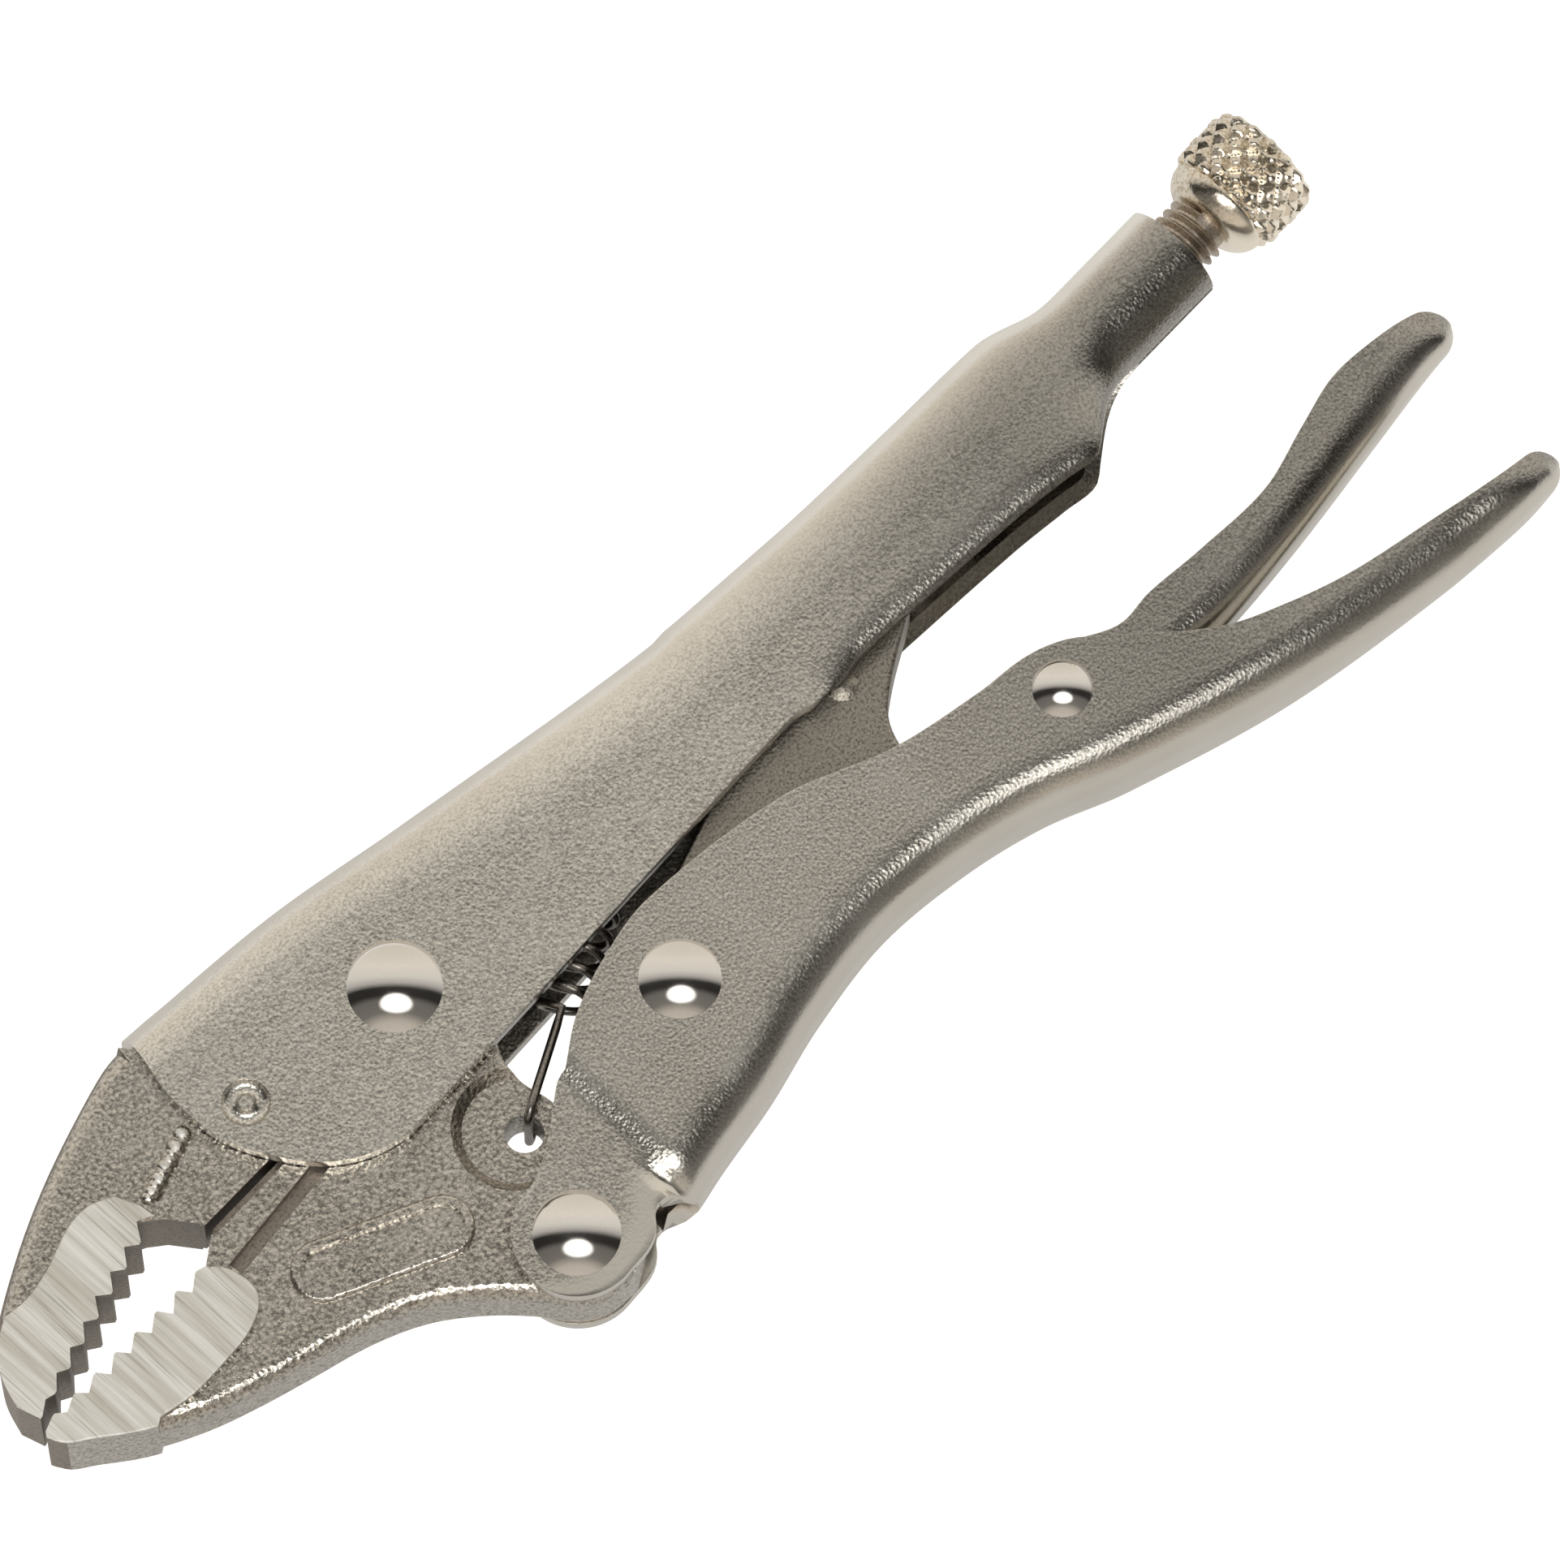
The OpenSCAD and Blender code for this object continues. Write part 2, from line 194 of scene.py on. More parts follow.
def spaced(start, end, step):
    """Even places from start to end, both included, about step apart."""
    n = max(1, round(abs(end - start) / step))
    return [start + (end - start) * i / n for i in range(n + 1)]


def channel_section(low, top, half, corner, curl=0.0, curl_r=4.2, corner_rows=8, lean=1.0):
    """Points (y, z) round a folded channel, from one long edge over the back to the other. The
    corner reaches lean times as far down the wall as it does over the back."""
    corner = min(corner, half - 0.3, max(top - low - 0.6, 0.3))
    fall = min(corner * lean, max(top - low - 0.6, 0.3))
    curl_r = min(curl_r, max((top - fall - low) * 0.6, 0.1))
    side = []
    for k in range(6):
        a = radians(86 * (1 - k / 5))
        side.append((low + curl_r * (1 - sin(a) / sin(radians(86))),
                     half - curl * curl_r * (1 - cos(a))))
    for k in range(1, 7):
        side.append((low + curl_r + (top - fall - low - curl_r) * k / 6, half))
    for k in range(1, corner_rows + 1):
        a = radians(90 * k / corner_rows)
        side.append((top - fall + fall * sin(a), half - corner + corner * cos(a)))
    flat = [(top, (half - corner) * (1 - k / 2)) for k in (1, 2)]
    return side + flat + [(y, -z) for y, z in reversed(side + flat[:1])]


def sheet_from(name, rows, is_open=lambda i, k: False):
    """Grid of sheet metal: rows of (x, y, z) in mm over the middle plane, one row per station.
    The faces for which is_open(station, place across) says so are left out."""
    across, along = len(rows[0]) - 1, len(rows) - 1
    bpy.ops.object.select_all(action="DESELECT")
    bpy.ops.mesh.primitive_grid_add(x_subdivisions=along, y_subdivisions=across, size=1)
    sheet = bpy.context.object
    sheet.name = sheet.data.name = name
    bpy.ops.object.mode_set(mode="EDIT")
    bpy.ops.mesh.select_mode(type="FACE")
    bpy.ops.mesh.select_all(action="DESELECT")
    bpy.ops.object.mode_set(mode="OBJECT")
    for face in sheet.data.polygons:
        face.select = is_open(math.floor((face.center.x + 0.5) * along),
                              math.floor((face.center.y + 0.5) * across))
    rolled = sheet.data.attributes.new("rolled_back", "FLOAT", "POINT")
    for v in sheet.data.vertices:
        i, k = round((v.co.x + 0.5) * along), round((v.co.y + 0.5) * across)
        rolled.data[v.index].value = 1 - abs(2 * k / across - 1)
        x, y, z = rows[i][k]
        v.co = (x * MM, y * MM, (z + MID) * MM)
    bpy.ops.object.mode_set(mode="EDIT")
    bpy.ops.mesh.delete(type="FACE")
    bpy.ops.mesh.select_mode(type="VERT")
    bpy.ops.object.mode_set(mode="OBJECT")
    return sheet


def pick(piece):
    """Select this piece alone."""
    bpy.ops.object.select_all(action="DESELECT")
    piece.select_set(True)
    bpy.context.view_layer.objects.active = piece


def press(sheet, thick, edge):
    """Give a sheet its thickness inwards and break its cut edges."""
    pick(sheet)
    bpy.ops.object.modifier_add(type="SOLIDIFY")
    wall = sheet.modifiers[-1]
    wall.thickness = thick * MM
    wall.offset = -1
    wall.use_even_offset = True
    bpy.ops.object.modifier_apply(modifier=wall.name)
    bpy.ops.object.modifier_add(type="BEVEL")
    break_edge = sheet.modifiers[-1]
    break_edge.width = edge * MM
    break_edge.segments = 3
    break_edge.limit_method = "ANGLE"
    break_edge.angle_limit = radians(40)
    bpy.ops.object.modifier_apply(modifier=break_edge.name)
    bpy.ops.object.shade_smooth_by_angle(angle=radians(38))


def combine(body, tool, operation):
    """Fuse tool to body or cut it out of it, and drop the tool."""
    pick(body)
    bpy.ops.object.modifier_add(type="BOOLEAN")
    joint = body.modifiers[-1]
    joint.object, joint.operation, joint.solver = tool, operation, "EXACT"
    bpy.ops.object.modifier_apply(modifier=joint.name)
    bpy.data.objects.remove(tool)


def turn_out(sheet, outward):
    """Flip the sheet's faces if they look away from the side given by outward(face centre)."""
    facing = sum(f.normal.dot(outward(f.center)) * f.area for f in sheet.data.polygons)
    if facing < 0:
        sheet.data.flip_normals()


def nickel(name, colour, dark, rough, grain=0.5, deep=1.0, fine=2500.0, tarnish=0.3, tail_shade=1.0):
    """Satin nickel over grainy steel: colour in the open, dark in the pits of the grain. A sheet's
    rolled back is smoother and painted brighter, a painted highlight, and the last argument is how
    bright its sides stay towards the tail, where they are painted darker as painted shade."""
    made = bpy.data.materials.new(name)
    add = new_nodes(made)
    place = add("ShaderNodeTexCoord").outputs["Object"]
    pits = add("ShaderNodeTexNoise",
               {"Vector": place, "Scale": fine, "Detail": 3.0, "Roughness": 0.62})
    cloud = add("ShaderNodeTexNoise",
                {"Vector": place, "Scale": 90.0, "Detail": 5.0, "Roughness": 0.6})
    speck = add("ShaderNodeTexVoronoi", {"Vector": place, "Scale": fine * 0.8}, feature="F1")
    back = add("ShaderNodeAttribute", attribute_name="rolled_back")
    side = add("ShaderNodeMapRange",
               {"Value": back.outputs["Fac"], "From Min": 0.56, "From Max": 0.80,
                "To Min": 1.0, "To Max": 0.0},
               interpolation_type="SMOOTHSTEP")
    glint = [c * (1 + 0.35 * grain) for c in colour]
    tone = ramp(add, pits.outputs["Fac"], [(0.36, dark), (0.49, colour), (0.64, glint)])
    # The rolled back takes the plain colour made brighter, a painted highlight; the walls keep the
    # grain's tone.
    rolled = (*[c * 1.32 for c in colour], 1)
    even = add("ShaderNodeMixRGB",
               {"Fac": side.outputs["Result"], "Color1": rolled, "Color2": tone})
    soil = ramp(add, cloud.outputs["Fac"], [(0.36, (0.82, 0.80, 0.77)), (0.62, (1, 1, 1))])
    plate = add("ShaderNodeMixRGB",
                {"Fac": tarnish, "Color1": even.outputs["Color"], "Color2": soil},
                blend_type="MULTIPLY")
    along = add("ShaderNodeSeparateXYZ", {"Vector": place})
    # Towards the tail the sides are painted darker, down to the last argument's share: painted
    # shade.
    tail = add("ShaderNodeMapRange",
               {"Value": along.outputs["X"], "From Min": 0.0, "From Max": 0.07,
                "To Min": 1.0, "To Max": tail_shade},
               interpolation_type="SMOOTHSTEP")
    painted_tail_shade = add("ShaderNodeMixRGB", {"Fac": side.outputs["Result"], "Color1": (1, 1, 1, 1),
                                    "Color2": tail.outputs["Result"]})
    skin = add("ShaderNodeMixRGB",
               {"Fac": 1.0, "Color1": plate.outputs["Color"], "Color2": painted_tail_shade.outputs["Color"]},
               blend_type="MULTIPLY")
    gloss = add("ShaderNodeMapRange",
                {"Value": cloud.outputs["Fac"], "From Min": 0.3, "From Max": 0.7,
                 "To Min": rough - 0.05, "To Max": rough + 0.07})
    lumps = add("ShaderNodeMath", {0: pits.outputs["Fac"], 1: speck.outputs["Distance"]},
                operation="ADD")
    rough_side = add("ShaderNodeMapRange",
                     {"Value": side.outputs["Result"], "To Min": grain * 0.14, "To Max": grain})
    relief = add("ShaderNodeBump",
                 {"Height": lumps.outputs["Value"], "Strength": rough_side.outputs["Result"],
                  "Distance": 0.00005 * deep})
    shell = add("ShaderNodeBsdfPrincipled", {
        "Base Color": skin.outputs["Color"], "Metallic": 1.0, "Roughness": gloss.outputs["Result"],
        "Normal": relief.outputs["Normal"]})
    add("ShaderNodeOutputMaterial", {"Surface": shell.outputs["BSDF"]})
    return made


handle_back = [(-76, 43.3), (-49, 40.9), (-27, 36.8), (12, 30), (35, 28.3), (57, 27.4), (73, 27),
               (78, 26.4), (83, 24.9), (87, 24.3)]
handle_edge = [(-56, 6), (-37, 6.5), (-20, 7.1), (19, 8.2), (27, 7.6), (57, 5.5), (66, 4.4),
               (71, 3.7), (74, 5.2), (80, 7.8), (87, 9.8)]
screw_y, tube_r, tube_from, tube_end = 17.0, 7.25, 87, 100.4
handle_half, handle_thick = 8.4, 2.4


def tube_section(count):
    """Points (y, z) round the tail tube, from the seam underneath over the top and back."""
    seam = radians(3)
    around = [seam + (2 * pi - 2 * seam) * k / (count - 1) for k in range(count)]
    return [(screw_y - tube_r * cos(a), tube_r * sin(a)) for a in around]


rows = []
front = [(-56 + 19 * cos(radians(a)), 28 + 22 * sin(radians(a))) for a in range(180, 262, 4)]
stations = front + [(x, height_at(handle_edge, x))
                    for x in spaced(front[-1][0], tube_from, 1.1)[1:]]
stations += [(x, 9.8) for x in spaced(tube_from, tube_end, 1.2)[1:]]
for x, low in stations:
    half = handle_half - 0.9 * ease(x, 62, 84)
    low -= 0.9 * ease(x, 17, 21) * (1 - ease(x, 25, 30))        # the small joggle half way along
    lip = 0.35 * ease(x, 13, 15.5) * (1 - ease(x, 20, 40))
    top = height_at(handle_back, min(x, tube_from)) + lip
    section = channel_section(low, top, half, 7.2, curl=0.35 * ease(x, 21, 27),
                              lean=1 + 0.5 * ease(x, -60, 10))
    if x > 72:
        w = ease(x, 72, 86)
        section = [(y * (1 - w) + ty * w, z * (1 - w) + tz * w)
                   for (y, z), (ty, tz) in zip(section, tube_section(len(section)))]
    cut_back, cut_out = 2.2 * (1 - ease(x, -75, -64)), 0.8 * (1 - ease(x, -75, -70))
    rows.append([(x + cut_back * ease(y, 31, 43) - cut_out * ease(y, 14, 26), y, z)
                 for y, z in section])
fixed_handle = sheet_from("handle_shell", rows)
turn_out(fixed_handle, lambda c: Vector((0, c.y - screw_y * MM, c.z - MID * MM)))
press(fixed_handle, handle_thick, edge=0.95)
stake = (-69.6, 24.3)           # ring pressed in round the stake that holds the fixed jaw
for side in (-1, 1):
    bpy.ops.object.select_all(action="DESELECT")
    bpy.ops.mesh.primitive_torus_add(
        major_radius=2.1 * MM, minor_radius=1.25 * MM, major_segments=56, minor_segments=28,
        location=(stake[0] * MM, stake[1] * MM, (MID + side * (handle_half + 0.5)) * MM))
    combine(fixed_handle, bpy.context.object, "DIFFERENCE")
pick(fixed_handle)
bpy.ops.object.shade_smooth_by_angle(angle=radians(38))
handle_plate = nickel("handle_nickel_plate", (0.66, 0.635, 0.585), (0.44, 0.42, 0.38), 0.22,
                      grain=0.7, tail_shade=0.55)
fixed_handle.data.materials.append(handle_plate)
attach(fixed_handle, "root")
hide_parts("fixed_handle")

# ---- main lever ----
# Pressed from the same sheet as the handle, its back on the lower side. Its walls step inwards to
# two ears that hug the moving jaw, and its tail flattens out for the hand.

lever_back = [(-38, 26.6), (-32, 25.4), (-21, 23.7), (-9, 21), (5, 19.4), (19, 20.9), (31, 24),
              (42, 28.7), (65, 36.1), (91, 41.1), (104, 42.1), (113.2, 42.1)]
lever_edge = [(-38, 2.9), (-32, -0.9), (-24, -3.6), (-14, -5), (8, -1.8), (23, 4.4), (36, 7.4),
              (44, 8.6), (49.5, 11), (54, 15.1), (64.3, 24.3), (72.5, 28.4), (81.6, 31.6),
              (94.5, 34.4), (105.6, 36.7), (113.2, 37.3)]
lever_pivot = (-53, -19)
lever_front, lever_turn, lever_end = -38, 110.2, 113.2
ear_r, ear_face = 8.6, 7.96     # the ears' round ends, and how far they stand off the middle


def round_tip(x, start, end, half, least):
    """Half width of a tail that is cut round, from start to end."""
    if x <= start:
        return half
    return max(least, half * sqrt(max(0.0, 1 - ((x - start) / (end - start)) ** 2)))


def tail_stations(end, turn_at, step, front):
    """Places along a lever from the end of its rounded tail to its front."""
    tip = [turn_at + (end - turn_at) * cos(radians(a)) for a in range(0, 90, 9)]
    return tip + spaced(turn_at, front, step)


def rounded_tail(x, end, turn_at, low, top):
    """Edge and back heights of a tail whose tip is also round when seen from the side."""
    middle = (low + top) / 2
    reach = round_tip(x, turn_at, end, (top - low) / 2, 0.75)
    return middle - reach, middle + reach


ear_upper = [(-58, 14.2), (-54.5, 11), (-51, 10), (-48, 8.6), (-44.5, 6.4), (-41, 4), (-38, 2.9)]
ear_lower = [(-52.2, 27.55), (-48, 27.2), (-45.6, 26.2), (-43.6, 24.2), (-41, 24.4), (-38, 26.6)]
CORNER_END = 19                 # row at which the walls' rounded corner meets the back


def ear_section(x):
    """One ear over the other: rows 0 to CORNER_END down the near ear, the rest up the far one."""
    dip = sqrt(max(ear_r ** 2 - (x - lever_pivot[0]) ** 2, 0.01)) if x < -52.2 else 0
    upper = -lever_pivot[1] - dip if x < -55 else height_at(ear_upper, x)
    lower = -lever_pivot[1] + dip if x < -52.2 else height_at(ear_lower, x)
    near = [(upper + (lower - upper) * k / CORNER_END, ear_face) for k in range(CORNER_END + 1)]
    web = [(lower, ear_face * k) for k in (0.5, 0, -0.5)]
    return near + web + [(y, -z) for y, z in reversed(near)]


rows = []
ear_stations = (spaced(lever_front, -52.2, 0.9)[1:]
                + [lever_pivot[0] - ear_r * sin(radians(a)) for a in range(2, 89, 6)])
lever_stations = tail_stations(lever_end, lever_turn, 1.15, lever_front)
for x in lever_stations + ear_stations:
    at = max(x, lever_front)
    low, top = rounded_tail(x, lever_end, lever_turn, height_at(lever_edge, at),
                            height_at(lever_back, at))
    half = round_tip(x, 102, 113.6, 8.6 - 1.9 * ease(x, 60, 100), 1.6) - 0.64 * ease(-x, 36.6, 39.4)
    section = channel_section(low, top, half, 6.4)
    if x < lever_front:
        w = ease(-x, 38, 41.5)
        section = [(y * (1 - w) + ey * w, z * (1 - w) + ez * w)
                   for (y, z), (ey, ez) in zip(section, ear_section(x))]
    rows.append([(x, -y, z) for y, z in section])
web_front = len(lever_stations) - 1     # in front of this the back is cut away between the ears
lever_handle = sheet_from("lever_shell", rows, lambda i, k: (
    i >= web_front and CORNER_END <= k < CORNER_END + 4))
turn_out(lever_handle, lambda c: Vector((0, c.y + 12 * MM, c.z - MID * MM)))
lever_thick = 2.3
press(lever_handle, lever_thick, edge=0.8)
# The handle's nickel plate again with its colours painted darker: painted shade on the lever and
# the release lever.
lever_plate_painted_darker = nickel("lever_nickel_plate_painted_darker", (0.59, 0.567, 0.52), (0.39, 0.37, 0.335), 0.22,
                     grain=0.7, tail_shade=0.62)
lever_handle.data.materials.append(lever_plate_painted_darker)
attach(lever_handle, "lever")
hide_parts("lever_handle")

# ---- release lever ----
# A smaller channel pressed like the main lever and nested in it, free on its own rivet. Only its
# tail shows, between the two handles.

release_back = [(24, 15.5), (32, 19.4), (44, 22), (56, 23.2), (66, 23.6), (81, 22.7), (99, 20.7),
                (110, 19.4), (117.8, 18.9)]
release_turn, release_end, release_thick = 114.8, 117.8, 2.1
release_edge = [(24, 13), (32, 11.4), (40, 9.6), (48, 10), (56, 14), (62, 13.9), (71, 14.8),
                (83, 15.3), (93, 12.9), (101, 11.2), (110, 12.0), (117.8, 13.6)]
rows = []
for x in tail_stations(release_end, release_turn, 1.1, release_back[0][0]):
    half = round_tip(x, 108, 118.2, 6.1 - 0.9 * ease(x, 70, 108), 1.4)
    low, top = rounded_tail(x, release_end, release_turn, height_at(release_edge, x),
                            height_at(release_back, x))
    section = channel_section(low, top, half, 4.6)
    rows.append([(x, -y, z) for y, z in section])
release_lever = sheet_from("release_shell", rows)
turn_out(release_lever, lambda c: Vector((0, c.y + 14 * MM, c.z - MID * MM)))
press(release_lever, release_thick, edge=0.7)
# The lever's plate, its colours painted darker as shade.
release_lever.data.materials.append(lever_plate_painted_darker)
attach(release_lever, "release_lever")
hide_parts("release_lever")

# ---- fixed jaw ----
# Forged steel, nickel plated, held between the front walls of the handle. Its nose is ground flat
# on both sides after plating, and the teeth are broached straight across.

jaw_pivot = (-45, 21)
jaw_tip, mouth_in, lower_in = (-119.4, 14.4), (-90.2, 22.2), (-88.8, 13.4)
tooth_pitch, tooth_h = 3.6, 1.8


def tooth_row(a, b, worn_at):
    """Saw teeth from a to b, lower towards the worn end, which is 0 for a and 1 for b."""
    length = math.dist(a, b)
    n = round(length / tooth_pitch)
    ux, uy = (b[0] - a[0]) / length, (b[1] - a[1]) / length
    step, points = length / n, []
    for i in range(n):
        left = 1 - 0.55 * (1 - abs(i / (n - 1) - worn_at)) ** 3
        deep = tooth_h * (0.92 + 0.08 * cos(2.1 * i)) * left
        points.append((a[0] + ux * step * i + uy * deep, a[1] + uy * step * i - ux * deep))
        points.append((a[0] + ux * step * (i + 0.56), a[1] + uy * step * (i + 0.56)))
        points.append((a[0] + ux * step * (i + 0.68), a[1] + uy * step * (i + 0.68)))
    return points


def through(points, steps=6):
    """Smooth open line through a few points."""
    out = []
    for i in range(len(points) - 1):
        p0, p1 = points[max(i - 1, 0)], points[i]
        p2, p3 = points[i + 1], points[min(i + 2, len(points) - 1)]
        for k in range(steps):
            t = k / steps
            out.append(tuple(0.5 * (2 * b + (c - a) * t + (2 * a - 5 * b + 4 * c - d) * t ** 2
                                    + (3 * b - a - 3 * c + d) * t ** 3)
                             for a, b, c, d in zip(p0, p1, p2, p3)))
    return out + [points[-1]]


def arc(centre, r, start, end, step=6):
    """Points round centre from angle start to angle end, in degrees, about step apart."""
    n = max(2, round(abs(end - start) / step))
    return [(centre[0] + r * cos(radians(start + (end - start) * k / n)),
             centre[1] + r * sin(radians(start + (end - start) * k / n))) for k in range(n + 1)]


def cut_plate(name, outline, thick):
    """Flat plate of that outline, its middle on the tool's middle plane."""
    bpy.ops.object.select_all(action="DESELECT")
    bpy.ops.mesh.primitive_circle_add(vertices=len(outline), radius=1, fill_type="NGON")
    plate = bpy.context.object
    plate.name = plate.data.name = name
    for v, (x, y) in zip(plate.data.vertices, outline):
        v.co = (x * MM, y * MM, (MID - thick / 2) * MM)
    bpy.ops.object.mode_set(mode="EDIT")
    bpy.ops.mesh.select_all(action="SELECT")
    bpy.ops.mesh.extrude_region_move(TRANSFORM_OT_translate={"value": (0, 0, thick * MM)})
    bpy.ops.mesh.select_all(action="SELECT")
    bpy.ops.mesh.normals_make_consistent(inside=False)
    bpy.ops.object.mode_set(mode="OBJECT")
    return plate


def break_rims(plate, width, chosen, segments=3):
    """Round the rims of both a plate's faces where chosen(x, y) in mm says so."""
    pick(plate)
    bpy.ops.object.mode_set(mode="EDIT")
    bpy.ops.mesh.select_mode(type="EDGE")
    bpy.ops.mesh.select_all(action="DESELECT")
    bpy.ops.object.mode_set(mode="OBJECT")
    points = plate.data.vertices
    levels = [min(v.co.z for v in points), max(v.co.z for v in points)]
    for edge in plate.data.edges:
        a, b = (points[i].co for i in edge.vertices)
        flat = any(abs(a.z - z) < 1e-6 and abs(b.z - z) < 1e-6 for z in levels)
        edge.select = flat and chosen((a.x + b.x) / 2 / MM, (a.y + b.y) / 2 / MM)
    bpy.ops.object.mode_set(mode="EDIT")
    bpy.ops.mesh.bevel(offset=width * MM, segments=segments, affect="EDGES", clamp_overlap=False)
    bpy.ops.mesh.select_mode(type="VERT")
    bpy.ops.object.mode_set(mode="OBJECT")


def pin(at, r, low=-2.0, high=24.0):
    """Upright round pin; with the default heights it goes right through the tool."""
    bpy.ops.object.select_all(action="DESELECT")
    bpy.ops.mesh.primitive_cylinder_add(vertices=48, radius=r * MM, depth=(high - low) * MM,
                                        location=(at[0] * MM, at[1] * MM, (high + low) / 2 * MM))
    return bpy.context.object


def settle(piece):
    """Smooth shading with the large flat faces kept flat, and the place held in the mesh."""
    pick(piece)
    bpy.ops.object.transform_apply(location=True, rotation=True, scale=True)
    bpy.ops.object.shade_smooth_by_angle(angle=radians(35))
    bpy.ops.object.modifier_add(type="WEIGHTED_NORMAL")
    even = piece.modifiers[-1]
    even.keep_sharp = True
    bpy.ops.object.modifier_apply(modifier=even.name)


fixed_outer = through([(-119.2, 18), (-117.6, 22.4), (-114.2, 26.6), (-110.3, 29.4), (-101.4, 34),
                       (-91.7, 37.9), (-80, 41.4), (-75.2, 42)], 5)
nose_thick, boss_gap = 14, 14.2
fixed_outline = (fixed_outer + [(-74.4, 41), (-73.6, 40.4), (-60, 38.5)]
                 + arc(jaw_pivot, boss_gap, 123, 197)
                 + [(-60.5, 17.4), (-84.8, 17.4), (-87.8, 21.6)] + tooth_row(mouth_in, jaw_tip, 1))
fixed_jaw = cut_plate("fixed_jaw_forging", fixed_outline[::-1], 12.6)
break_rims(fixed_jaw, 2.6, lambda x, y: x < -75.5 and y > 16.9 + (x + 119.3) * 0.3, 5)
fixed_pad = ([(-88.6, 22.9), (-88.8, 25.2)] + through([(-90.1, 28.4), (-93.5, 30), (-97.4, 29.9),
             (-103.2, 28), (-107.8, 27.2), (-111.6, 27.6)], 4) + fixed_outer[9::-1]
             + tooth_row(mouth_in, jaw_tip, 1)[::-1])
nose = cut_plate("fixed_nose", [(x + 0.02, y) for x, y in fixed_pad], nose_thick)
break_rims(nose, 0.3, lambda x, y: y > 26.5, 2)
combine(fixed_jaw, nose, "UNION")
step_outline = [(-86.9, 24.6), (-84.9, 17), (-70, 17), (-70, 29.8), (-78.4, 27.3)]
bead_lumps = 11                 # the rough bead along the step, as a row of small lumps
for side in (-1, 1):
    block = cut_plate("block_step", step_outline, 2.0)
    block.location.z = side * 6.5 * MM
    combine(fixed_jaw, block, "DIFFERENCE")
    bpy.ops.object.select_all(action="DESELECT")
    for k in range(bead_lumps):
        at = (-78.0 - 9.2 * k / 10, 27.9 - 2.7 * k / 10, MID + side * (5.6 + 0.15 * cos(2.4 * k)))
        bpy.ops.mesh.primitive_ico_sphere_add(
            subdivisions=3, radius=(1.3 + 0.15 * sin(3.7 * k)) * MM, location=[c * MM for c in at])
        combine(fixed_jaw, bpy.context.object, "UNION")
settle(fixed_jaw)
jaw_plate = nickel("jaw_nickel_plate", (0.54, 0.51, 0.46), (0.27, 0.25, 0.215), 0.22, grain=0.9,
                   deep=1.5, fine=1900.0)
fixed_jaw.data.materials.append(jaw_plate)


def ground_steel(name, lean):
    """Bare steel from the grinding wheel: fine scratches across the nose, lean degrees off Y."""
    made = bpy.data.materials.new(name)
    add = new_nodes(made)
    place = add("ShaderNodeTexCoord").outputs["Object"]
    along = add("ShaderNodeMapping", {"Vector": place, "Rotation": (0, 0, radians(lean)),
                                      "Scale": (2600, 60, 60)})
    lines = add("ShaderNodeTexNoise",
                {"Vector": along.outputs["Vector"], "Scale": 1.0, "Detail": 2.5,
                 "Roughness": 0.7})
    broad = add("ShaderNodeMapping", {"Vector": place, "Rotation": (0, 0, radians(lean)),
                                      "Scale": (620, 30, 30)})
    bands = add("ShaderNodeTexNoise",
                {"Vector": broad.outputs["Vector"], "Scale": 1.0, "Detail": 2.0})
    tone = ramp(add, lines.outputs["Fac"], [(0.30, (0.62, 0.60, 0.56)), (0.45, (0.88, 0.87, 0.83)),
                                            (0.7, (0.97, 0.96, 0.93))])
    shade = ramp(add, bands.outputs["Fac"], [(0.36, (0.72, 0.70, 0.66)), (0.6, (1, 1, 1))])
    steel = add("ShaderNodeMixRGB", {"Fac": 0.8, "Color1": tone, "Color2": shade},
                blend_type="MULTIPLY")
    both = add("ShaderNodeMath", {0: lines.outputs["Fac"], 1: bands.outputs["Fac"]},
               operation="ADD")
    relief = add("ShaderNodeBump", {"Height": both.outputs["Value"], "Strength": 0.5,
                                    "Distance": 0.00008})
    shell = add("ShaderNodeBsdfPrincipled", {
        "Base Color": steel.outputs["Color"], "Metallic": 0.85, "Roughness": 0.55,
        "Normal": relief.outputs["Normal"]})
    add("ShaderNodeOutputMaterial", {"Surface": shell.outputs["BSDF"]})
    return made


nose_steel = ground_steel("ground_nose_steel", -20)
# Broached steel: partly its own darker tone, partly painted shade for the teeth and the hollows
# deep between the jaw's sides.
tooth_steel_and_painted_shade = nickel("broached_tooth_steel_and_painted_shade", (0.34, 0.30, 0.26), (0.20, 0.17, 0.14), 0.42,
                     grain=0.3, fine=2600.0)
fixed_jaw.data.materials.append(nose_steel)
fixed_jaw.data.materials.append(tooth_steel_and_painted_shade)


def finishes_and_painted_shade(jaw, is_tooth):
    """Ground steel on the flats of the nose, plate on the rest of both sides, and the duller
    broached steel on the teeth, in the grooves and on whatever else lies deep between the sides,
    its colour painted darker there as painted shade."""
    for face in jaw.data.polygons:
        x, y, off = face.center.x / MM, face.center.y / MM, abs(face.center.z / MM - MID)
        if off > 6.8:
            face.material_index = 1
        elif (abs(face.normal.z) < 0.3 and is_tooth(x, y)) or (off < 5.5 and y > 10):
            face.material_index = 2
        else:
            face.material_index = 0


finishes_and_painted_shade(fixed_jaw, lambda x, y: y < 24.4 + (x + 90) * 0.27 and x < -84)
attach(fixed_jaw, "root")
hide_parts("fixed_jaw")

# ---- moving jaw ----
# Forged like the fixed one. It turns on the jaw rivet inside the handle, carries the lever on its
# lower corner, and has a recessed ear for the spring and two grooves that part off the wire cutter.

